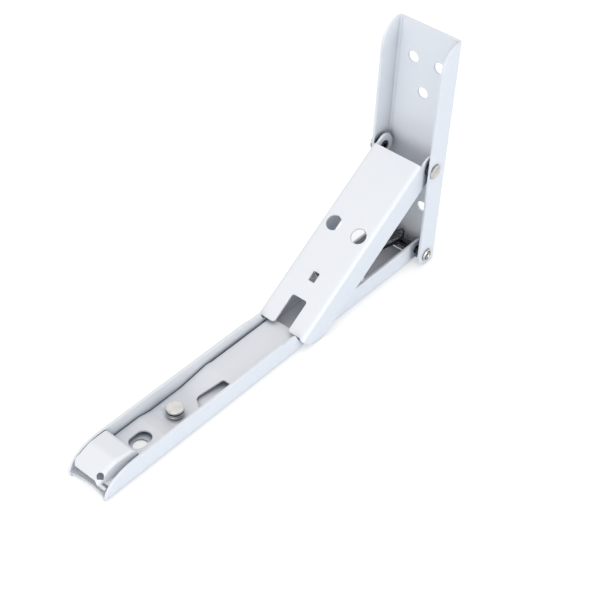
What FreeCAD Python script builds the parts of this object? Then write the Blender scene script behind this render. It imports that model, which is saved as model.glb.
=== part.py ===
import FreeCAD, Part
import math
import os

# Folding shelf bracket: a wall channel, a shelf arm hinged at its foot, a brace
# hinged higher up on the wall channel and dropped into notches in the arm, and a
# release lever riveted inside the arm. Sizes in millimetres.
# Frame: x out from the wall along the open arm, y across the sheet-metal
# channels, z up the wall channel. The wall is x = 0, the shelf lies on z = 0; save()
# moves the finished shapes down so that z = 0 is the middle of the wall screws.

# Sheet metal
sheet = 1.5
bend = 2.5
fit = 0.1
gap = 0.3

# Wall channel
wall_side_gap = 2.6
wall_depth = 15.8
wall_height = 147.0
wall_top_round = 14.0
wall_foot_round = 8.0
wall_heel_round = 4.0
lip_reach = 8.0
lip_side = 5.0
wall_hole = 6.8
wall_hole_side = 8.65
wall_hole_top = 125.4
wall_hole_low = 32.0
wall_hole_mid = 106.0

# Hinge pin at the foot
pin_x = 9.0
pin_z = 7.2
pin_radius = 2.5
pin_head_radius = 3.7
pin_head = 1.2
pin_bore = 1.6

# Shelf arm
arm_half = 13.6
arm_height = 13.6
arm_reach = 250.0
arm_web_start = 2.0
arm_tip_fall = 23.0
arm_hole_near = 38.0
arm_hole_near_size = 8.2
arm_hole_mid = 124.4
arm_hole_mid_size = 7.0
arm_hole_tip = 213.2
arm_hole_tip_size = 8.2

# Brace
brace_side_gap = 1.4
brace_depth = 18.0
brace_pivot_x = 11.6
brace_pivot_z = 68.9
brace_drop = 34.6
brace_web_lead = 3.4
brace_web_long = 115.6
brace_ear_back = 7.3
brace_ear_top = 3.0
brace_ear_round = 6.5
brace_hole = 9.2
brace_hole_at = 51.0
brace_hole_side = 8.8
hook_hole_from = 79.8
hook_hole_to = 85.8
hook_hole_wide = 4.2
brace_notch_from = 96.6
brace_notch_half = 5.2
brace_foot_round = 2.0
notch_lead = 12.4
notch_lead_deep = 0.9

# Rivets
rivet_radius = 2.4
rivet_head_radius = 4.4
rivet_head = 1.2
rivet_tail = 0.9

# Release lever
lever_sheet = 1.2
lever_side_gap = 0.7
lever_start = 101.5
lever_top = 6.5
lever_shelf_long = 52.0
lever_ramp_long = 18.5
lever_low = 3.6
lever_pivot = 188.3
lever_rise_after = 6.7
lever_rise_long = 8.0
lever_mid = 5.3
lever_jog_long = 3.5
lever_jog_in = 0.6
lever_cut_after = 1.0
lever_cut_long = 25.5
lever_cut_side = 2.6
lever_cut_waist = -1.0
lever_cut_waist_before = 8.0
lever_window_long = 13.4
lever_window_wide = 9.0
knob_in = 3.9
knob_radius = 2.2
dish_radius = 5.0
dish_deep = 0.6
tab_rise_after = 8.0
tab_rise_long = 4.0
tab_top = 13.8
tab_flat_long = 10.8
tab_slope_long = 13.0
tab_end_top = 9.0
tab_flank_in = 3.1
tab_flank_taper = 9.0
tab_flank_lean = 22.0
tab_flank_low = 5.0
tab_relief = 1.5
tab_relief_before = 2.6
post_radius = 2.4
post_head_radius = 4.8
post_head = 2.2
post_top = 9.6
washer_thick = 1.0
collar_radius = 4.3

# Spring
spring_wire = 0.55
spring_coil = 3.6
spring_rise = 3.0
spring_coil_from = 5.2
spring_coil_to = 61.0
spring_seat = 0.25
spring_tip = 0.7

# Half widths, from the arm outwards and inwards
brace_half = arm_half + sheet + brace_side_gap
wall_half = brace_half + sheet + wall_side_gap
lip_half = wall_half - lip_side
lever_half = arm_half - sheet - lever_side_gap
wall_screw_mid = (wall_hole_low + wall_hole_top) / 2

# Stations along the lever, from the hinge pin
lever_shelf_end = lever_start + lever_shelf_long
lever_ramp_end = lever_shelf_end + lever_ramp_long
lever_jog = lever_shelf_end - lever_jog_long
lever_cut_from = lever_shelf_end + lever_cut_after
lever_cut_to = lever_cut_from + lever_cut_long
lever_cut_deep = lever_cut_to - lever_cut_waist_before
lever_rise_from = lever_pivot + lever_rise_after
lever_rise_to = lever_rise_from + lever_rise_long
tab_rise_from = arm_hole_tip + tab_rise_after
tab_rise_to = tab_rise_from + tab_rise_long
tab_bend_from = tab_rise_to + tab_flat_long
tab_end = tab_bend_from + tab_slope_long
tab_relief_at = tab_end - tab_relief_before


def vec(x, y, z):
    return FreeCAD.Vector(x, y, z)


def closed_wire(corners, place):
    """Closed outline through (a, b, radius) corners, each rounded by its radius."""
    count = len(corners)
    enter = []
    middle = []
    leave = []
    for i in range(count):
        a, b, radius = corners[i]
        here = place(a, b)
        if radius <= 0:
            enter.append(here)
            middle.append(None)
            leave.append(here)
            continue
        before = place(*corners[i - 1][:2]).sub(here)
        after = place(*corners[(i + 1) % count][:2]).sub(here)
        before.normalize()
        after.normalize()
        half = before.getAngle(after) / 2
        reach = radius / math.tan(half)
        inward = before.add(after)
        inward.normalize()
        centre = here.add(inward.multiply(radius / math.sin(half)))
        toward = here.sub(centre)
        toward.normalize()
        enter.append(here.add(before.multiply(reach)))
        middle.append(centre.add(toward.multiply(radius)))
        leave.append(here.add(after.multiply(reach)))
    edges = []
    for i in range(count):
        if middle[i] is not None:
            edges.append(Part.Arc(enter[i], middle[i], leave[i]).toShape())
        start = leave[i]
        end = enter[(i + 1) % count]
        if start.distanceToPoint(end) > 1e-6:
            edges.append(Part.makeLine(start, end))
    return Part.Wire(edges)


def slab_x(corners, x0, x1):
    face = Part.Face(closed_wire(corners, lambda a, b: vec(x0, a, b)))
    return face.extrude(vec(x1 - x0, 0, 0))


def slab_y(corners, y0, y1):
    face = Part.Face(closed_wire(corners, lambda a, b: vec(a, y0, b)))
    return face.extrude(vec(0, y1 - y0, 0))


def slab_z(corners, z0, z1):
    face = Part.Face(closed_wire(corners, lambda a, b: vec(a, b, z0)))
    return face.extrude(vec(0, 0, z1 - z0))


def rod_y(radius, y0, y1, x, z):
    return Part.makeCylinder(radius, y1 - y0, vec(x, y0, z), vec(0, 1, 0))


def rod_z(radius, z0, z1, x, y):
    return Part.makeCylinder(radius, z1 - z0, vec(x, y, z0), vec(0, 0, 1))


def rod_x(radius, x0, x1, y, z):
    return Part.makeCylinder(radius, x1 - x0, vec(x0, y, z), vec(1, 0, 0))


def channel(half, depth, length):
    """U section along x: web outer face on z = 0, both flanges up to z = depth."""
    inner = half - sheet
    section = [
        (-half, 0, bend), (half, 0, bend), (half, depth, 0), (inner, depth, 0),
        (inner, sheet, bend - sheet), (-inner, sheet, bend - sheet),
        (-inner, depth, 0), (-half, depth, 0),
    ]
    return slab_x(section, 0, length)


def save(name, shape):
    shape = shape.copy()
    shape.translate(vec(0, 0, -wall_screw_mid))
    shape.exportStep("parts/" + name + ".step")


os.makedirs("parts", exist_ok=True)

# Wall channel: the plain U stood on end, its flanges trimmed to the rounded side
# profile, a lip folded out of the web's foot between two narrow slits.
wall_body = channel(wall_half, wall_depth, wall_height)
wall_body.rotate(vec(0, 0, 0), vec(0, 1, 0), -90)
wall_body.rotate(vec(0, 0, 0), vec(0, 0, 1), 180)
wall_side = [
    (0, 0, wall_heel_round), (wall_depth, 0, wall_foot_round),
    (wall_depth, wall_height, wall_top_round), (0, wall_height, 0),
]
wall_channel = wall_body.common(slab_y(wall_side, -wall_half, wall_half))
foot_clear = bend + sheet
foot_space = slab_y([(-1, -1, 0), (wall_depth, -1, 0), (wall_depth, foot_clear, 0), (-1, foot_clear, 0)],
                    -wall_half + sheet + gap, wall_half - sheet - gap)
wall_channel = wall_channel.cut(foot_space)
lip_side = [
    (0, 0, bend), (lip_reach, 0, 0), (lip_reach, sheet, 0), (sheet, sheet, bend - sheet),
    (sheet, foot_clear, 0), (0, foot_clear, 0),
]
lip_plan = [
    (0, -lip_half, 0), (lip_reach, -lip_half, 3), (lip_reach, lip_half, 3), (0, lip_half, 0),
]
lip = slab_y(lip_side, -lip_half, lip_half).common(slab_z(lip_plan, -1, foot_clear + 1))
wall_channel = wall_channel.fuse(lip)
for side in (-1, 1):
    for height in (wall_hole_low, wall_hole_top):
        wall_channel = wall_channel.cut(rod_x(wall_hole / 2, -1, sheet + 1, side * wall_hole_side, height))
wall_channel = wall_channel.cut(rod_x(wall_hole / 2, -1, sheet + 1, 0, wall_hole_mid))
wall_channel = wall_channel.cut(rod_y(pin_radius + fit, -wall_half - 1, wall_half + 1, pin_x, pin_z))
wall_channel = wall_channel.cut(
    rod_y(rivet_radius + fit, -wall_half - 1, wall_half + 1, brace_pivot_x, brace_pivot_z))
wall_channel = wall_channel.removeSplitter()

# Shelf arm: flanges up, a round lobe behind the web's end for the hinge pin, a
# curved fall at the tip, and a notch in each flange that holds the brace's foot.
arm_tip = pin_x + arm_reach
arm_body = channel(arm_half, arm_height, arm_tip)
lobe = arm_height - pin_z
lobe_round = min(lobe, pin_z - sheet - gap)
web_start = pin_x + arm_web_start
tip_curve = Part.BezierCurve()
tip_curve.setPoles([
    vec(arm_tip, 0, sheet), vec(arm_tip - 1.5, 0, 0.72 * arm_height),
    vec(arm_tip - 0.45 * arm_tip_fall, 0, arm_height), vec(arm_tip - arm_tip_fall, 0, arm_height),
])
heel_x = pin_x - lobe_round
heel_z = arm_height - lobe_round
arm_edges = [
    Part.makeLine(vec(web_start, 0, 0), vec(arm_tip, 0, 0)),
    Part.makeLine(vec(arm_tip, 0, 0), vec(arm_tip, 0, sheet)),
    tip_curve.toShape(),
    Part.makeLine(vec(arm_tip - arm_tip_fall, 0, arm_height), vec(pin_x, 0, arm_height)),
    Part.Arc(vec(pin_x, 0, arm_height), vec(heel_x, 0, heel_z),
             vec(pin_x, 0, heel_z - lobe_round)).toShape(),
    Part.makeLine(vec(pin_x, 0, heel_z - lobe_round), vec(web_start, 0, 0)),
]
arm_side = Part.Face(Part.Wire(arm_edges)).extrude(vec(0, 2 * arm_half, 0))
arm_side.translate(vec(0, -arm_half, 0))
arm_channel = arm_body.common(arm_side)
tip_scoop = rod_z(40, -1, sheet + 1, arm_tip + 40 - 2.4, 0)
tip_scoop = tip_scoop.common(slab_z([
    (arm_tip - 5, -arm_half + bend, 0), (arm_tip + 5, -arm_half + bend, 0),
    (arm_tip + 5, arm_half - bend, 0), (arm_tip - 5, arm_half - bend, 0)], -1, sheet + 1))
arm_channel = arm_channel.cut(tip_scoop)
for place, size in ((arm_hole_near, arm_hole_near_size), (arm_hole_mid, arm_hole_mid_size),
                    (arm_hole_tip, arm_hole_tip_size)):
    arm_channel = arm_channel.cut(rod_z(size / 2, -1, sheet + 1, pin_x + place, 0))
arm_channel = arm_channel.cut(rod_z(post_radius + fit, -1, sheet + 1, pin_x + lever_pivot, 0))
arm_channel = arm_channel.cut(rod_y(pin_radius + fit, -arm_half - 1, arm_half + 1, pin_x, pin_z))

# Brace: made flat with its web's outer face on z = 0 and its flanges hanging, the
# pivot at (0, -web_to_pivot), then turned down to its open slope.
web_to_pivot = brace_pivot_x - sheet - gap
web_from = brace_web_lead
web_to = web_from + brace_web_long
brace_body = channel(brace_half, brace_depth, web_to + brace_ear_back + 2)
slope = math.radians(brace_drop)
corner_z = (brace_pivot_z + (web_to_pivot - brace_depth) * math.cos(slope)
            - (web_to + 1) * math.sin(slope))
brace_round = (gap - corner_z) / (math.cos(slope) + math.sin(slope) - 1)
brace_body.rotate(vec(0, 0, 0), vec(1, 0, 0), 180)
brace_body.translate(vec(-brace_ear_back, 0, 0))
brace_side = [
    (-brace_ear_back, -brace_depth, brace_ear_round), (web_to + 1, -brace_depth, brace_round),
    (web_to + 1, 0, 1.0), (web_from, 0, 0), (web_from, -brace_ear_top, 0),
    (-brace_ear_back, -brace_ear_top, brace_ear_round),
]
brace_channel = brace_body.common(slab_y(brace_side, -brace_half, brace_half))
ear_space = slab_y([
    (-brace_ear_back - 1, -bend - 1, 0), (web_from, -bend - 1, 0), (web_from, 1, 0),
    (-brace_ear_back - 1, 1, 0)], -brace_half + sheet, brace_half - sheet)
brace_channel = brace_channel.cut(ear_space)
foot_inner = brace_half - bend
web_end_plan = [
    (web_from + brace_notch_from, -brace_notch_half, 1.5), (web_to, -brace_notch_half, brace_foot_round),
    (web_to, -foot_inner, 0), (web_to + bend, -foot_inner, 0),
    (web_to + bend, foot_inner, 0), (web_to, foot_inner, 0),
    (web_to, brace_notch_half, brace_foot_round), (web_from + brace_notch_from, brace_notch_half, 1.5),
]
brace_channel = brace_channel.cut(slab_z(web_end_plan, -bend - 1, 1))
for side in (-1, 1):
    brace_channel = brace_channel.cut(
        rod_z(brace_hole / 2, -bend, 1, web_from + brace_hole_at, side * brace_hole_side))
hook_plan = [
    (web_from + hook_hole_from, -hook_hole_wide / 2, 0.6),
    (web_from + hook_hole_to, -hook_hole_wide / 2, 0.6),
    (web_from + hook_hole_to, hook_hole_wide / 2, 0.6),
    (web_from + hook_hole_from, hook_hole_wide / 2, 0.6),
]
brace_channel = brace_channel.cut(slab_z(hook_plan, -bend, 1))
brace_channel = brace_channel.cut(
    rod_y(rivet_radius + fit, -brace_half - 1, brace_half + 1, 0, -web_to_pivot))
brace_channel.translate(vec(brace_pivot_x, 0, brace_pivot_z + web_to_pivot))
brace_channel.rotate(vec(brace_pivot_x, 0, brace_pivot_z), vec(0, 1, 0), brace_drop)

# Notches in the arm's flanges: the brace's foot grown by a clearance and left open
# upwards, with a shallow lead in front over which the foot swings out.
along = vec(math.cos(slope), 0, -math.sin(slope))
outward = vec(math.sin(slope), 0, math.cos(slope))
pivot = vec(brace_pivot_x, 0, brace_pivot_z)


def brace_point(s, h):
    """Point of the brace at s along it from the pivot and h below its outer face."""
    point = pivot.add(vec(along.x * s, 0, along.z * s))
    lift = web_to_pivot - h
    return point.add(vec(outward.x * lift, 0, outward.z * lift))


foot = brace_point(web_to + 0.8, sheet + 0.5)
rise = arm_height + 1 - foot.z
notch_back = brace_point(web_to, sheet + 0.5)
back_run = (arm_height + 1 - notch_back.z) / math.tan(slope)
notch_side = [
    (foot.x + 0.6, foot.z, 0.8), (foot.x + 0.6 + rise * 0.55, arm_height + 1, 0),
    (notch_back.x - back_run, arm_height + 1, 0), (notch_back.x - 0.6, notch_back.z, 0.8),
]
lead_low = arm_height - notch_lead_deep
lead_side = [
    (foot.x, lead_low, 0), (foot.x + notch_lead, lead_low, 0),
    (foot.x + notch_lead + 2, arm_height + 1, 0), (foot.x, arm_height + 1, 0),
]
for side in (-1, 1):
    reach = (arm_half - bend) if side > 0 else (-arm_half - 1)
    end = (arm_half + 1) if side > 0 else (-arm_half + bend)
    arm_channel = arm_channel.cut(slab_y(notch_side, reach, end))
    arm_channel = arm_channel.cut(slab_y(lead_side, reach, end))
arm_channel = arm_channel.removeSplitter()
brace_channel = brace_channel.removeSplitter()

# Hinge pin through both flanges of the wall channel and both lobes of the arm.
pin_end = wall_half + fit
hinge_pin = rod_y(pin_radius, -pin_end - pin_head, pin_end + pin_head, pin_x, pin_z)
for side in (-1, 1):
    start = pin_end if side > 0 else -pin_end - pin_head
    hinge_pin = hinge_pin.fuse(rod_y(pin_head_radius, start, start + pin_head, pin_x, pin_z))
for side in (-1, 1):
    tip = side * (pin_end + pin_head)
    hinge_pin = hinge_pin.cut(rod_y(pin_bore, tip - 1.6, tip + 1.6, pin_x, pin_z))
hinge_pin = hinge_pin.removeSplitter()

# Brace rivets: a short one each side, head outside the wall channel, a collar
# between the two flanges, the tail spread inside the brace.
brace_inner = brace_half - sheet


def brace_rivet():
    y_head = wall_half + 0.05
    body = rod_y(rivet_radius, brace_inner - rivet_tail, y_head + rivet_head, brace_pivot_x, brace_pivot_z)
    head = rod_y(rivet_head_radius, y_head, y_head + rivet_head, brace_pivot_x, brace_pivot_z)
    outer = [edge for edge in head.Edges if abs(edge.BoundBox.YMin - y_head - rivet_head) < 1e-6
             and edge.BoundBox.YLength < 1e-6]
    head = head.makeChamfer(0.4, outer)
    collar = rod_y(rivet_radius + 1.4, brace_half + 0.05, wall_half - sheet - 0.05,
                   brace_pivot_x, brace_pivot_z)
    tail = rod_y(rivet_radius + 0.9, brace_inner - rivet_tail, brace_inner - 0.05,
                 brace_pivot_x, brace_pivot_z)
    shape = body.fuse([head, collar, tail])
    dimple = rod_y(1.3, brace_inner - rivet_tail - 1, brace_inner - rivet_tail + 0.8,
                   brace_pivot_x, brace_pivot_z)
    return shape.cut(dimple).removeSplitter()


rivet_right = brace_rivet()
rivet_left = rivet_right.mirror(vec(0, 0, 0), vec(0, 1, 0))

# Release lever: one strip bent along the arm, its thumb tab at the tip.
lever_line = [
    (lever_start, lever_top), (lever_shelf_end, lever_top), (lever_ramp_end, lever_low),
    (lever_rise_from, lever_low), (lever_rise_to, lever_mid), (tab_rise_from, lever_mid),
    (tab_rise_to, tab_top), (tab_bend_from, tab_top), (tab_end, tab_end_top),
]
lever_rounds = [0, 6, 6, 3, 3, 2.5, 2.5, 8, 0]


def strip(line, rounds, thick):
    """Side outline of a bent strip: the upper line, then the line a sheet below."""
    lower = []
    count = len(line)
    for i in range(count):
        if i == 0:
            dx, dz = line[1][0] - line[0][0], line[1][1] - line[0][1]
        elif i == count - 1:
            dx, dz = line[i][0] - line[i - 1][0], line[i][1] - line[i - 1][1]
        else:
            ax, az = line[i][0] - line[i - 1][0], line[i][1] - line[i - 1][1]
            bx, bz = line[i + 1][0] - line[i][0], line[i + 1][1] - line[i][1]
            al = math.hypot(ax, az)
            bl = math.hypot(bx, bz)
            dx, dz = ax / al + bx / bl, az / al + bz / bl
        size = math.hypot(dx, dz)
        nx, nz = -dz / size, dx / size
        stretch = 1.0
        if 0 < i < count - 1:
            stretch = 1 / ((ax / al) * (dx / size) + (az / al) * (dz / size))
        lower.append((line[i][0] - nx * thick * stretch, line[i][1] - nz * thick * stretch))
    corners = []
    for i in range(count):
        turn_up = 0 < i < count - 1 and is_hollow(line, i)
        radius = rounds[i] - (thick if turn_up else 0)
        corners.append((pin_x + line[i][0], line[i][1], max(radius, 0)))
    for i in reversed(range(count)):
        turn_up = 0 < i < count - 1 and is_hollow(line, i)
        radius = rounds[i] - (0 if turn_up else thick)
        corners.append((pin_x + lower[i][0], lower[i][1], max(radius, 0) if 0 < i < count - 1 else 0))
    return corners


def is_hollow(line, i):
    ax, az = line[i][0] - line[i - 1][0], line[i][1] - line[i - 1][1]
    bx, bz = line[i + 1][0] - line[i][0], line[i + 1][1] - line[i][1]
    return ax * bz - az * bx > 0


lever_side = strip(lever_line, lever_rounds, lever_sheet)
release_lever = slab_y(lever_side, -lever_half, lever_half)
lever_plan = [
    (pin_x + lever_start, -lever_half + lever_jog_in, 2),
    (pin_x + lever_jog, -lever_half + lever_jog_in, 0.5),
    (pin_x + lever_jog + 1, -lever_half, 0.5), (pin_x + tab_end, -lever_half, 4),
    (pin_x + tab_end, lever_half, 0), (pin_x + lever_cut_to, lever_half, 3),
    (pin_x + lever_cut_deep, lever_cut_waist, 4), (pin_x + lever_cut_from, lever_cut_side, 1.5),
    (pin_x + lever_cut_from, lever_half, 1), (pin_x + lever_start, lever_half, 2),
]
release_lever = release_lever.common(slab_z(lever_plan, 0, 30))
window_x = pin_x + arm_hole_tip
window_half = lever_window_long / 2
window_round = lever_window_wide / 2 - 0.01
window = slab_z([
    (window_x - window_half, -lever_window_wide / 2, window_round),
    (window_x + window_half, -lever_window_wide / 2, window_round),
    (window_x + window_half, lever_window_wide / 2, window_round),
    (window_x - window_half, lever_window_wide / 2, window_round)], 0, 30)
release_lever = release_lever.cut(window)

# The tab's free side is turned down: a leaning, tapering flank under the plate.
tab_lean = math.tan(math.radians(tab_flank_lean))
tab_taper = math.tan(math.radians(tab_flank_taper))
flank_normal = vec(tab_taper, 1, tab_lean)
flank_normal.normalize()
flank_corner = vec(pin_x + tab_rise_to, lever_half - tab_flank_in, tab_top)


def beyond_flank(depth):
    """Everything outside the flank's face once that is moved in by depth."""
    block = Part.makeBox(2 * arm_reach, 2 * arm_reach, arm_reach, vec(-arm_reach, -arm_reach, 0))
    block.Placement = FreeCAD.Placement(flank_corner.sub(flank_normal * depth),
                                        FreeCAD.Rotation(vec(0, 0, 1), flank_normal))
    return block


flank_side = [
    (pin_x + tab_rise_to - 1, tab_flank_low, 0), (pin_x + tab_rise_to, tab_top, 2),
    (pin_x + tab_bend_from, tab_top, 8), (pin_x + tab_end, tab_end_top, 0),
    (pin_x + tab_end, tab_flank_low, 2),
]
flank = slab_y(flank_side, 0, lever_half).common(beyond_flank(lever_sheet))
tab_zone = slab_y([
    (pin_x + tab_rise_to - 2, lever_mid + 1, 0), (pin_x + tab_end + 5, lever_mid + 1, 0),
    (pin_x + tab_end + 5, tab_top + 5, 0), (pin_x + tab_rise_to - 2, tab_top + 5, 0)], -40, 40)
release_lever = release_lever.fuse(flank)
release_lever = release_lever.cut(beyond_flank(0).common(tab_zone))
release_lever = release_lever.cut(rod_y(tab_relief, 0, lever_half, pin_x + tab_relief_at, tab_flank_low))
post_x = pin_x + lever_pivot
release_lever = release_lever.cut(rod_z(post_radius + gap, 0, lever_low + 1, post_x, 0))
knob_side = lever_half - knob_in
knob_depth = lever_low - lever_sheet - sheet - 0.03
for side in (-1, 1):
    knob_z = lever_low - lever_sheet + knob_radius - knob_depth
    knob = Part.makeSphere(knob_radius, vec(post_x, side * knob_side, knob_z))
    knob = knob.cut(slab_z([
        (post_x - dish_radius, side * knob_side - dish_radius, 0),
        (post_x + dish_radius, side * knob_side - dish_radius, 0),
        (post_x + dish_radius, side * knob_side + dish_radius, 0),
        (post_x - dish_radius, side * knob_side + dish_radius, 0)], lever_low - 0.9, lever_top))
    dish = Part.makeSphere(dish_radius, vec(post_x, side * knob_side, lever_low + dish_radius - dish_deep))
    release_lever = release_lever.fuse(knob).cut(dish)
release_lever = release_lever.removeSplitter()

# Lever rivet: shank up from the arm's web, a flat head, a loose washer under it and
# a collar on the shank that the lever rocks against.
lever_rivet = rod_z(post_radius, 0.1, post_top, post_x, 0)
post_cap = rod_z(post_head_radius, post_top - post_head, post_top, post_x, 0)
cap_edges = [edge for edge in post_cap.Edges if edge.BoundBox.ZLength < 1e-6]
post_cap = post_cap.makeChamfer(0.3, cap_edges)
washer_top = post_top - post_head - 0.05
washer_low = washer_top - washer_thick
collar = rod_z(collar_radius, lever_low + gap, washer_low - 0.05, post_x, 0)
post_foot = rod_z(post_radius + 0.9, sheet + 0.05, lever_low - lever_sheet - gap, post_x, 0)
lever_rivet = lever_rivet.fuse([post_cap, collar, post_foot]).removeSplitter()
lever_washer = rod_z(post_head_radius - 0.1, washer_low, washer_top, post_x, 0)
lever_washer = lever_washer.cut(rod_z(post_radius + fit, washer_low - 1, washer_top + 1, post_x, 0))

# Tension spring, its close coils as one plain tube: a loop over and behind the hinge
# pin, the tube raised a little over the pin, and a leg up into the brace's slot. The
# loop is as large as lets it bear on the pin from behind.
hook_s = web_from + hook_hole_from + spring_wire + fit
hook_low = brace_point(hook_s, sheet + 1.2)
hook_tip = brace_point(hook_s, -spring_tip)
pin_at = vec(pin_x, 0, pin_z)
pull = hook_low.sub(pin_at)
spring_tilt = math.degrees(math.atan2(pull.z, pull.x))
loop_top = spring_rise + spring_coil
loop_bear = spring_wire + pin_radius + spring_seat
loop_sum = spring_coil_from + loop_top - loop_bear
spring_loop = loop_sum - math.sqrt(loop_sum ** 2 - spring_coil_from ** 2 - loop_top ** 2 + loop_bear ** 2)


def wire_run(points):
    """Round wire through the points, each length run on a little past its ends."""
    run = []
    for i in range(len(points) - 1):
        step = points[i + 1].sub(points[i])
        length = step.Length
        step.normalize()
        start = points[i].sub(step * (spring_wire / 2))
        run.append(Part.makeCylinder(spring_wire, length + spring_wire, start, step))
    return run


tube_long = spring_coil_to - spring_coil_from
tube_start = vec(spring_coil_from, 0, spring_rise)
tube = Part.makeCylinder(spring_coil + spring_wire, tube_long, tube_start, vec(1, 0, 0))
bore = Part.makeCylinder(spring_coil - spring_wire, tube_long - 1, tube_start, vec(1, 0, 0))
loop_x = spring_coil_from - spring_loop
loop_z = loop_top - spring_loop
loop = rod_y(spring_loop + spring_wire, -spring_wire, spring_wire, loop_x, loop_z)
loop = loop.cut(rod_y(spring_loop - spring_wire, -spring_coil, spring_coil, loop_x, loop_z))
shoulder = wire_run([vec(loop_x, 0, loop_top), vec(spring_coil_from + 1, 0, loop_top)])
tension_spring = tube.cut(bore).fuse([loop] + shoulder)
tension_spring.rotate(vec(0, 0, 0), vec(0, 1, 0), -spring_tilt)
tension_spring.translate(pin_at)
tilt = math.radians(spring_tilt)
tube_end = vec(
    pin_x + (spring_coil_to - 0.5) * math.cos(tilt) - spring_rise * math.sin(tilt), 0,
    pin_z + (spring_coil_to - 0.5) * math.sin(tilt) + spring_rise * math.cos(tilt))
tension_spring = tension_spring.fuse(wire_run([tube_end, hook_low, hook_tip])).removeSplitter()

save("tension_spring", tension_spring)
save("wall_channel", wall_channel)
save("arm_channel", arm_channel)
save("brace_channel", brace_channel)
save("release_lever", release_lever)
save("hinge_pin", hinge_pin)
save("brace_rivet_right", rivet_right)
save("brace_rivet_left", rivet_left)
save("lever_rivet", lever_rivet)
save("lever_washer", lever_washer)
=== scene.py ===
import math
import bmesh
import bpy
from mathutils import Matrix, Vector


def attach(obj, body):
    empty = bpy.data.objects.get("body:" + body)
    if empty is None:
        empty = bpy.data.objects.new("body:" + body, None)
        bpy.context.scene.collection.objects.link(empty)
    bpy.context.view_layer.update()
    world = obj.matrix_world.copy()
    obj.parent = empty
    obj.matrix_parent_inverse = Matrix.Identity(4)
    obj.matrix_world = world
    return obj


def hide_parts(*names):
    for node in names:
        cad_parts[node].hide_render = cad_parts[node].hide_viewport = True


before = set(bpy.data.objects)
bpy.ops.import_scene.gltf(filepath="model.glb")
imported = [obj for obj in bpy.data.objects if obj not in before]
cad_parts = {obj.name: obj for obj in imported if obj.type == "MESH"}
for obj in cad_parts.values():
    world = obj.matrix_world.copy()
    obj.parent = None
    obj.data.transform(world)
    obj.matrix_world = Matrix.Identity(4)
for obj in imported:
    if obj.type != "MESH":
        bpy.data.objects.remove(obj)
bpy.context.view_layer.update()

# Wall channel. The upright that screws to the wall: one blank of 1.5 mm steel folded to a
# U, its foot turned up as a lip, then powder coated white. The coat rounds every cut edge,
# and its colour is darkened in the corners as painted shade.
coat_colour = (0.78, 0.79, 0.82, 1)
coat_shade = (0.75, 0.765, 0.80, 1)
# Painted shade: the blue-grey colour laid into corners and gaps, and how far it reaches.
painted_corner_shade = (0.045, 0.115, 0.19, 1)
corner_shade_reach = 0.003
hollow_shade_reach = 0.014
coat_edge = 0.0002
cut_edge_angle = math.radians(40)
shading_angle = math.radians(32)


class Socket:
    """A shader value that takes + - * and ** as Math nodes."""

    def __init__(self, tree, link):
        self.tree = tree
        self.link = link

    def node(self, kind, settings, values):
        made = self.tree.nodes.new(kind)
        for name, value in settings.items():
            setattr(made, name, value)
        for name, value in values.items():
            if isinstance(value, Socket):
                self.tree.links.new(value.link, made.inputs[name])
            else:
                made.inputs[name].default_value = value
        return made

    def out(self, kind, settings, values, name=0):
        return Socket(self.tree, self.node(kind, settings, values).outputs[name])

    def math(self, operation, other, swap=False):
        pair = (other, self) if swap else (self, other)
        return self.out("ShaderNodeMath", {"operation": operation}, {0: pair[0], 1: pair[1]})

    def __add__(self, other):
        return self.math("ADD", other)

    def __radd__(self, other):
        return self.math("ADD", other, True)

    def __sub__(self, other):
        return self.math("SUBTRACT", other)

    def __rsub__(self, other):
        return self.math("SUBTRACT", other, True)

    def __mul__(self, other):
        return self.math("MULTIPLY", other)

    def __rmul__(self, other):
        return self.math("MULTIPLY", other, True)

    def __pow__(self, other):
        return self.math("POWER", other)


def start_material(name):
    """A new material, its shader and a Socket for the object's own coordinates."""
    material = bpy.data.materials.new(name)
    material.use_nodes = True
    tree = material.node_tree
    shader = tree.nodes["Principled BSDF"]
    place = tree.nodes.new("ShaderNodeTexCoord").outputs["Object"]
    return material, shader, Socket(tree, place)


def noise(place, scale, detail=2.0, rough=0.5):
    return place.out("ShaderNodeTexNoise", {}, {"Vector": place, "Scale": scale, "Detail": detail,
                                                "Roughness": rough}, "Fac")


def blend(share, first, second):
    return share.out("ShaderNodeMix", {"data_type": "RGBA"},
                     {"Factor": share, "A": first, "B": second}, "Result")


def bump(height, strength, distance):
    return height.out("ShaderNodeBump", {}, {"Strength": strength, "Distance": distance,
                                             "Height": height}, "Normal")


def feed(shader, name, value):
    value.tree.links.new(value.link, shader.inputs[name])


def openness(place, reach):
    """1 on an open face, falling towards 0 deep in a gap or corner, where shade is painted in."""
    return place.out("ShaderNodeAmbientOcclusion", {"samples": 6}, {"Distance": reach}, "AO")


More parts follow.
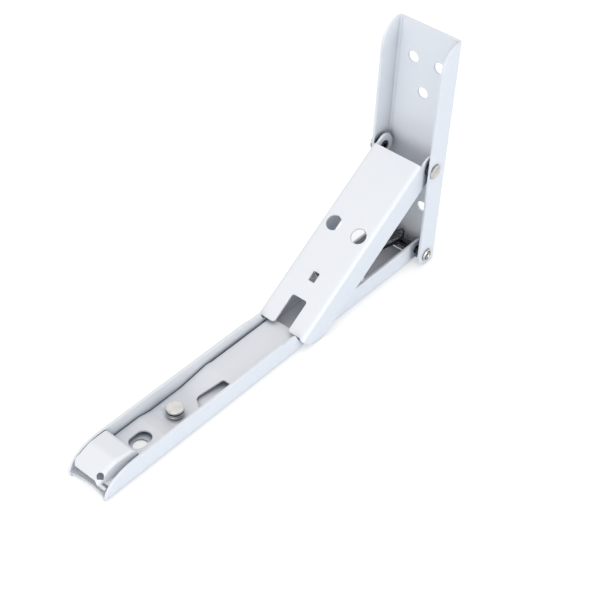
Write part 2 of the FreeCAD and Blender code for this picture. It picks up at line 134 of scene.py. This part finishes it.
def powder_coat(name, colour, shade, corner_shade_colour):
    """Satin polyester powder: a faint orange peel, a slow drift of tone and gloss, and a
    painted blue-grey shade in corners and gaps."""
    material, shader, place = start_material(name)
    drift = noise(place, scale=38.0, detail=3.0)
    grain = noise(place, scale=900.0, detail=2.0, rough=0.6)
    peel = noise(place, scale=420.0, detail=1.0)
    bare = blend(drift * 0.5 + grain * 0.5, shade, colour)
    hollow = openness(place, hollow_shade_reach)
    hollow = hollow.out("ShaderNodeMapRange", {"interpolation_type": "SMOOTHSTEP"},
                        {"Value": hollow, "From Min": -0.15, "From Max": 0.55,
                         "To Min": 0.0, "To Max": 1.0})
    # Painted shade: the colour turns blue-grey where a point is closed in by corners and gaps.
    painted_shade_share = openness(place, corner_shade_reach) ** 0.5 * hollow
    feed(shader, "Base Color", blend(painted_shade_share, corner_shade_colour, bare))
    feed(shader, "Roughness", 0.30 + drift * 0.10 + grain * 0.06)
    feed(shader, "Normal", bump(peel * 0.7 + grain * 0.3, strength=0.22, distance=0.00008))
    shader.inputs["Specular IOR Level"].default_value = 0.5
    shader.inputs["Coat Weight"].default_value = 0.15
    shader.inputs["Coat Roughness"].default_value = 0.15
    return material


def rounded(work, edges, width, segments):
    bmesh.ops.bevel(work, geom=edges, offset=width, offset_type="OFFSET", segments=segments,
                    profile=0.5, affect="EDGES", material=-1, clamp_overlap=False)


def tidied(work):
    """Flat faces in one piece, and no edge too short to round."""
    bmesh.ops.dissolve_limit(work, angle_limit=math.radians(0.5), verts=work.verts,
                             edges=work.edges, delimit={"NORMAL"})
    bmesh.ops.remove_doubles(work, verts=work.verts, dist=0.0002)
    bmesh.ops.dissolve_degenerate(work, dist=0.0001, edges=work.edges)


def coated_copy(node, name, body, edge_width, material, roll=None, punch=None):
    """A merged copy of the bare blank, its cut edges rounded by the coat. A roll is the box
    that holds a fold and the fold's width, and a punch is the shape of a hole."""
    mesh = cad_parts[node].data.copy()
    mesh.materials.clear()
    work = bmesh.new()
    work.from_mesh(mesh)
    bmesh.ops.remove_doubles(work, verts=work.verts, dist=1e-6)
    tidied(work)
    if roll:
        low, high, roll_width = roll
        least, most = math.radians(50), math.radians(75)
        fold = [edge for edge in work.edges
                if least < edge.calc_face_angle_signed(0) < most
                and all(low[axis] < vert.co[axis] < high[axis]
                        for vert in edge.verts for axis in range(3))]
        rounded(work, fold, roll_width, 6)
    if punch:
        work = punched(work, punch)
        tidied(work)
    sharp = [edge for edge in work.edges if len(edge.link_faces) == 2
             and edge.calc_face_angle() > cut_edge_angle]
    rounded(work, sharp, edge_width, 2)
    many_sided = [face for face in work.faces if len(face.verts) > 4]
    bmesh.ops.triangulate(work, faces=many_sided)
    for face in work.faces:
        face.smooth = True
    work.to_mesh(mesh)
    work.free()
    mesh.set_sharp_from_angle(angle=shading_angle)
    piece = bpy.data.objects.new(name, mesh)
    bpy.context.scene.collection.objects.link(piece)
    mesh.materials.append(material)
    level = piece.modifiers.new("flats_stay_flat", "WEIGHTED_NORMAL")
    level.keep_sharp = True
    level.weight = 100
    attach(piece, body)
    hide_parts(node)


white_coat = powder_coat("white_powder_coat", coat_colour, coat_shade, painted_corner_shade)
coated_copy("wall_channel", "wall_upright", "wall", coat_edge, white_coat)

# Shelf arm. The long U that the shelf screws to, from the same coated sheet, with a lobe
# each side for the hinge pin and a falling curve at the tip.
coated_copy("arm_channel", "shelf_arm", "arm", coat_edge, white_coat)

# Brace. The strut between upright and arm, of the same coated sheet. Its ears are riveted
# to the upright and its foot is caught in the arm's notches.
coated_copy("brace_channel", "brace_strut", "brace", coat_edge, white_coat)

# Release lever. A strip of thinner coated steel bent along the arm, pressed down at the
# thumb tab to lift the brace's foot. The tab's fold is rolled, and an arched hole at its
# corner lets the sheet bend both ways.
thin_coat_edge = 0.00014
tab_fold_low = (0.2357, 0.0063, -0.0699)
tab_fold_high = (0.2582, 0.0083, -0.0645)
tab_fold_width = 0.0016
arch_radius = 0.0018
arch_foot = 0.0017
arch_depth = 0.005
arch_place = (0.25485, 0.00595, -0.06881)
arch_across = Vector((-0.755, 0.633, -0.161))
arch_up = Vector((-0.585, -0.545, 0.601))
arch_out = Vector((0.293, 0.548, 0.782))


def punched(work, punch):
    """The blank with the punch's shape taken out of it."""
    held = []
    for name, shape in (("blank", work), ("punch", punch)):
        mesh = bpy.data.meshes.new(name)
        shape.to_mesh(mesh)
        shape.free()
        held.append(bpy.data.objects.new(name, mesh))
        bpy.context.scene.collection.objects.link(held[-1])
    blank, tool = held
    stroke = blank.modifiers.new("stroke", "BOOLEAN")
    stroke.object = tool
    stroke.solver = "EXACT"
    finished = blank.evaluated_get(bpy.context.evaluated_depsgraph_get())
    cut = bpy.data.meshes.new_from_object(finished)
    made = bmesh.new()
    made.from_mesh(cut)
    for item in held:
        bpy.data.meshes.remove(item.data)
    bpy.data.meshes.remove(cut)
    return made


arch = bmesh.new()
bmesh.ops.create_cone(arch, cap_ends=True, segments=32, radius1=arch_radius,
                      radius2=arch_radius, depth=arch_depth)
for vert in arch.verts:
    if vert.co.y < -1e-5:
        vert.co.y = -arch_foot
bmesh.ops.dissolve_limit(arch, angle_limit=math.radians(1), verts=arch.verts, edges=arch.edges)
arch_turn = Matrix((arch_across, arch_up, arch_out)).transposed().to_4x4()
bmesh.ops.transform(arch, matrix=Matrix.Translation(arch_place) @ arch_turn, verts=arch.verts)
coated_copy("release_lever", "thumb_lever", "lever", thin_coat_edge, white_coat,
            roll=(tab_fold_low, tab_fold_high, tab_fold_width), punch=arch)

# Hinge pin. A turned steel pin, nickel plated, its ends drilled and rolled over outside
# the upright's flanges. Between the flanges its colour is painted darker, as shade.
pin_place = (0.009, 0, -0.0715)
# Painted shade: the darker colour of the pin and rivets between the flanges.
inner_shade_colour = (0.07, 0.072, 0.078, 1)
# Painted shade: dark colour in the plating's grooves and recesses, and how far it reaches.
groove_shade_colour = (0.015, 0.015, 0.017, 1)
groove_shade_reach = 0.0016
lathe_steps = 48
mm = 0.001


def plated(name, colour, dark, rough, bright_from=None):
    """Nickel plate over turned steel: fine wear, grime in a few spots, and painted shade in every
    groove. With bright_from it is painted darker, as shade, within that distance of the
    mid-plane."""
    material, shader, place = start_material(name)
    scuff = noise(place, scale=700.0, detail=4.0, rough=0.65)
    grime = noise(place, scale=260.0, detail=2.0)
    tint = blend(scuff, [value * 0.86 for value in colour[:3]] + [1], colour)
    worn = blend(grime ** 4.0 * 2.0, tint, dark)
    # Painted shade: darker within bright_from of the mid-plane, where the parts sit between the
    # flanges.
    if bright_from:
        across = place.out("ShaderNodeSeparateXYZ", {}, {"Vector": place}, "Y")
        per_square_metre = 200000.0
        ends = (across * across - bright_from ** 2) * per_square_metre
        worn = blend(ends, inner_shade_colour, worn)
    # Painted shade: the colour goes dark in grooves and recesses.
    feed(shader, "Base Color", blend(openness(place, groove_shade_reach) ** 1.8, groove_shade_colour, worn))
    feed(shader, "Roughness", rough + scuff * 0.22)
    feed(shader, "Normal", bump(scuff * 0.7 + grime * 0.3, strength=0.25, distance=0.00004))
    shader.inputs["Metallic"].default_value = 1.0
    return material


def turned(name, node, body, place, axis, profile, material):
    """A piece turned on a lathe from (radius, height) pairs in mm along its axis. A profile
    that starts away from the axis is a ring and is closed."""
    mesh = bpy.data.meshes.new(name)
    work = bmesh.new()
    points = [work.verts.new((radius * mm, 0, height * mm)) for radius, height in profile]
    for first, second in zip(points, points[1:]):
        work.edges.new((first, second))
    if profile[0][0] > 0:
        work.edges.new((points[-1], points[0]))
    bmesh.ops.spin(work, geom=work.verts[:] + work.edges[:], cent=(0, 0, 0), axis=(0, 0, 1),
                   angle=2 * math.pi, steps=lathe_steps, use_merge=True)
    bmesh.ops.remove_doubles(work, verts=work.verts, dist=1e-7)
    bmesh.ops.recalc_face_normals(work, faces=work.faces)
    bmesh.ops.rotate(work, verts=work.verts, cent=(0, 0, 0),
                     matrix=Vector((0, 0, 1)).rotation_difference(Vector(axis)).to_matrix())
    bmesh.ops.translate(work, verts=work.verts, vec=place)
    for face in work.faces:
        face.smooth = True
    work.to_mesh(mesh)
    work.free()
    mesh.set_sharp_from_angle(angle=math.radians(35))
    piece = bpy.data.objects.new(name, mesh)
    bpy.context.scene.collection.objects.link(piece)
    mesh.materials.append(material)
    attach(piece, body)
    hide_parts(node)


nickel = plated("nickel_plate", (0.70, 0.685, 0.66, 1), (0.16, 0.15, 0.15, 1), rough=0.18)
# Painted shade: this plate is darker within 19.5 mm of the mid-plane, between the flanges.
nickel_shaded_inside = plated("nickel_shaded_inside", (0.66, 0.645, 0.62, 1), (0.16, 0.15, 0.15, 1),
                      rough=0.14, bright_from=0.0195)
pin_end = [(0, 18.2), (1.1, 18.2), (1.25, 20.9), (1.4, 21.5), (1.7, 21.75), (2.0, 21.6),
           (2.15, 21.0), (2.35, 20.95), (2.6, 21.5), (3.0, 21.9), (3.4, 21.9), (3.75, 21.6),
           (3.85, 21.2), (3.85, 20.8), (3.7, 20.7), (2.5, 20.7)]
pin_line = [(radius, -height) for radius, height in pin_end] + pin_end[::-1]
turned("hinge_pin_rolled", "hinge_pin", "wall", pin_place, (0, 1, 0), pin_line, nickel_shaded_inside)

# Brace rivets. One each side, of nickel-plated steel, with a flat head outside, a collar
# between the flanges and a hollow tail flared inside the brace.
brace_pivot = (0.0116, 0, -0.0098)
rivet_line = [(0, 21.85), (3.6, 21.85), (4.1, 21.75), (4.4, 21.4), (4.4, 20.8), (4.3, 20.65),
              (2.4, 20.65), (2.4, 19.05), (3.8, 19.05), (3.8, 16.55), (2.4, 16.55),
              (2.4, 14.95), (3.1, 14.95), (3.3, 14.8), (3.3, 14.4), (3.0, 14.15),
              (2.5, 14.1), (2.0, 14.2), (1.75, 14.7), (1.65, 17.6), (0, 17.8)]
# Their collars and tails carry the same painted shade as the hinge pin between the flanges.
turned("brace_rivet_right_flared", "brace_rivet_right", "wall", brace_pivot, (0, 1, 0),
       rivet_line, nickel_shaded_inside)
turned("brace_rivet_left_flared", "brace_rivet_left", "wall", brace_pivot, (0, -1, 0),
       rivet_line, nickel_shaded_inside)

# Lever rivet and washer. A broad brushed head over a loose washer and a stepped collar, so
# that the lever can rock on the arm. Both are turned and nickel plated.
lever_pivot = (0.1973, 0, -0.0787)
satin_nickel = plated("brushed_nickel", (0.80, 0.785, 0.76, 1), (0.40, 0.39, 0.37, 1),
                      rough=0.30)
post_line = [(0, 0.1), (2.4, 0.1), (2.4, 1.55), (3.2, 1.55), (3.3, 1.65), (3.3, 2.0),
             (3.2, 2.1), (2.4, 2.1), (2.4, 3.9), (4.1, 3.9), (4.1, 5.45), (4.75, 5.5),
             (4.95, 5.65), (4.95, 5.95), (4.8, 6.12), (4.5, 6.15), (2.4, 6.15), (2.4, 7.4),
             (3.9, 7.4), (3.9, 8.0), (4.5, 8.05), (4.7, 8.25), (4.75, 8.5), (4.75, 9.2),
             (4.65, 9.45), (4.4, 9.58), (3.9, 9.6), (0, 9.55)]
washer_line = [(2.5, 6.5), (4.6, 6.5), (4.85, 6.6), (4.95, 6.85), (4.95, 7.05), (4.85, 7.28),
               (4.6, 7.35), (2.5, 7.35)]
turned("lever_rivet_headed", "lever_rivet", "arm", lever_pivot, (0, 0, 1), post_line,
       satin_nickel)
turned("lever_washer_rounded", "lever_washer", "arm", lever_pivot, (0, 0, 1), washer_line,
       nickel)

# Tension spring. Dark oiled wire wound in close coils, with a long loop over and behind the
# hinge pin and a bent leg that hooks up into the brace's slot. The coils and the loop are
# drawn along +X with the pin at the origin, then tilted and moved to the pin.
wire_radius = 0.00055
coil_start = Vector((0.0034, 0, 0.0066))
coil_middle = (0.0034, 0, 0.0030)
coil_turns = 50
coil_pitch = 0.001149
steps_a_turn = 22
loop_middle = (0.00024, 0, 0.00164)
loop_degrees = -300
coil_tilt = math.radians(-14.76)
leg = [Vector((0.0667, 0, -0.0532)), Vector((0.0846, 0, -0.0517)), Vector((0.0865, 0, -0.0488)),
       Vector((0.0872, 0, -0.0487)), Vector((0.0888, 0, -0.0502))]
spring_mesh = bpy.data.meshes.new("tension_spring_wound")
work = bmesh.new()


def wire_start(place, along):
    """The first ring of a wire: its edges, ready to be drawn out."""
    turn = Vector((0, 0, 1)).rotation_difference(Vector(along)).to_matrix().to_4x4()
    ring = bmesh.ops.create_circle(work, cap_ends=False, radius=wire_radius, segments=10,
                                   matrix=Matrix.Translation(place) @ turn)
    return list({edge for vert in ring["verts"] for edge in vert.link_edges})


def wire_straight(ring, step):
    drawn = bmesh.ops.extrude_edge_only(work, edges=ring)["geom"]
    moved = [item for item in drawn if isinstance(item, bmesh.types.BMVert)]
    bmesh.ops.translate(work, verts=moved, vec=step)
    return [item for item in drawn if isinstance(item, bmesh.types.BMEdge)
            and len(item.link_faces) == 1]


def wire_turn(ring, centre, axis, degrees, steps, climb=(0, 0, 0)):
    verts = list({vert for edge in ring for vert in edge.verts})
    bmesh.ops.spin(work, geom=verts + ring, cent=centre, axis=axis, dvec=climb,
                   angle=math.radians(degrees), steps=steps, use_merge=False)


ring = wire_start(coil_start, (0, 1, 0))
wire_turn(ring, coil_middle, (1, 0, 0), 360 * coil_turns, steps_a_turn * coil_turns,
          climb=(coil_pitch / steps_a_turn, 0, 0))
ring = wire_start(coil_start + Vector((0.0006, 0, 0)), (-1, 0, 0))
ring = wire_straight(ring, (-0.00376, 0, 0))
wire_turn(ring, loop_middle, (0, 1, 0), loop_degrees, 2 * steps_a_turn)
bmesh.ops.rotate(work, verts=work.verts, cent=(0, 0, 0),
                 matrix=Matrix.Rotation(coil_tilt, 3, "Y"))
bmesh.ops.translate(work, verts=work.verts, vec=pin_place)
ring = wire_start(leg[0], leg[1] - leg[0])
for start, end in zip(leg, leg[1:]):
    ring = wire_straight(ring, end - start)
open_edges = [edge for edge in work.edges if len(edge.link_faces) == 1]
bmesh.ops.holes_fill(work, edges=open_edges, sides=12)
bmesh.ops.recalc_face_normals(work, faces=work.faces)
for face in work.faces:
    face.smooth = True
work.to_mesh(spring_mesh)
work.free()
spring_mesh.set_sharp_from_angle(angle=math.radians(50))
spring = bpy.data.objects.new("tension_spring_wound", spring_mesh)
bpy.context.scene.collection.objects.link(spring)
spring_steel = plated("dark_spring_steel", (0.14, 0.145, 0.155, 1), (0.02, 0.02, 0.025, 1),
                      rough=0.16)
spring_mesh.materials.append(spring_steel)
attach(spring, "spring")
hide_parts("tension_spring")

# Floor. A plain white sweep that the bracket lies on. It shows white to the camera and in
# the metal and keeps the shadow, and it lights the bracket with a cool bounce, as pale
# paper would.
floor_height = -0.0791
floor_reach = 6.0
paper_bounce = (0.50, 0.59, 0.68, 1)
paper_seen = (0.62, 0.62, 0.62, 1)
paper_glow = (0.5, 0.5, 0.5, 1)


def seen_share(place):
    """1 for a ray from the camera, or one that metal or glass has turned, and 0 for others."""
    path = place.node("ShaderNodeLightPath", {}, {})
    share = Socket(place.tree, path.outputs["Is Camera Ray"])
    for name in ("Is Glossy Ray", "Is Transmission Ray"):
        share = share.math("MAXIMUM", Socket(place.tree, path.outputs[name]))
    return share


floor_mesh = bpy.data.meshes.new("studio_floor")
work = bmesh.new()
bmesh.ops.create_grid(work, x_segments=1, y_segments=1, size=floor_reach)
bmesh.ops.translate(work, verts=work.verts, vec=(0, 0, floor_height))
work.to_mesh(floor_mesh)
work.free()
floor = bpy.data.objects.new("studio_floor", floor_mesh)
bpy.context.scene.collection.objects.link(floor)
paper, shader, place = start_material("studio_paper")
seen = seen_share(place)
feed(shader, "Base Color", blend(seen, paper_bounce, paper_seen))
shader.inputs["Roughness"].default_value = 0.9
feed(shader, "Emission Color", blend(seen, (0, 0, 0, 1), paper_glow))
shader.inputs["Emission Strength"].default_value = 1.0
floor_mesh.materials.append(paper)

# Light. A pale room, cooler and dimmer below and behind, with a soft lamp on the right,
# the side whose flanges are brightest, one in front of the upright and a weak one above.
room_dim = (0.18, 0.32, 0.455, 1)
room_bright = (0.85, 0.85, 0.85, 1)
bright_side = Vector((0.38, -0.05, 0.92))
world = bpy.data.worlds.new("studio_room")
bpy.context.scene.world = world
world.use_nodes = True
room = world.node_tree
way = Socket(room, room.nodes.new("ShaderNodeTexCoord").outputs["Generated"])
side = way.out("ShaderNodeVectorMath", {"operation": "DOT_PRODUCT"}, {0: way, 1: bright_side},
               "Value")
glow = side.out("ShaderNodeMapRange", {"interpolation_type": "SMOOTHSTEP"},
                {"Value": side, "From Min": -0.7, "From Max": 0.7, "To Min": 0.0,
                 "To Max": 1.0})
walls = blend(glow, room_dim, room_bright)
backdrop = blend(seen_share(way), walls, (1, 1, 1, 1))
room.links.new(backdrop.link, room.nodes["Background"].inputs["Color"])
room.nodes["Background"].inputs["Strength"].default_value = 1.0


def lamp(name, place, target, size, watts):
    data = bpy.data.lights.new(name, "AREA")
    data.shape = "SQUARE"
    data.size = size
    data.energy = watts
    made = bpy.data.objects.new(name, data)
    made.location = place
    aim = Vector(target) - Vector(place)
    made.rotation_euler = aim.to_track_quat("-Z", "Y").to_euler()
    bpy.context.scene.collection.objects.link(made)


lamp("soft_box_right", (0.10, 1.2, 0.10), (0.10, 0, -0.04), size=0.5, watts=5.0)
lamp("soft_box_front", (1.25, 0.30, 0.18), (0.05, 0, 0), size=0.7, watts=5.2)
lamp("soft_box_above", (0.20, -0.05, 1.25), (0.12, 0, 0), size=0.5, watts=1.4)

# Camera. Above and beyond the arm's tip on the right, as in the photograph, with a long
# lens that keeps the near and far ends close in scale.
lens_mm = 82.58
sensor_mm = 36.0
eye = (0.53819, 0.34724, 0.44534)
turn_degrees = (47.855, -2.319, 130.445)
camera_data = bpy.data.cameras.new("camera")
camera_data.sensor_width = sensor_mm
camera_data.lens = lens_mm
camera = bpy.data.objects.new("camera", camera_data)
camera.location = eye
camera.rotation_euler = [math.radians(angle) for angle in turn_degrees]
bpy.context.scene.collection.objects.link(camera)
bpy.context.scene.camera = camera
bpy.context.scene.view_settings.view_transform = "Standard"
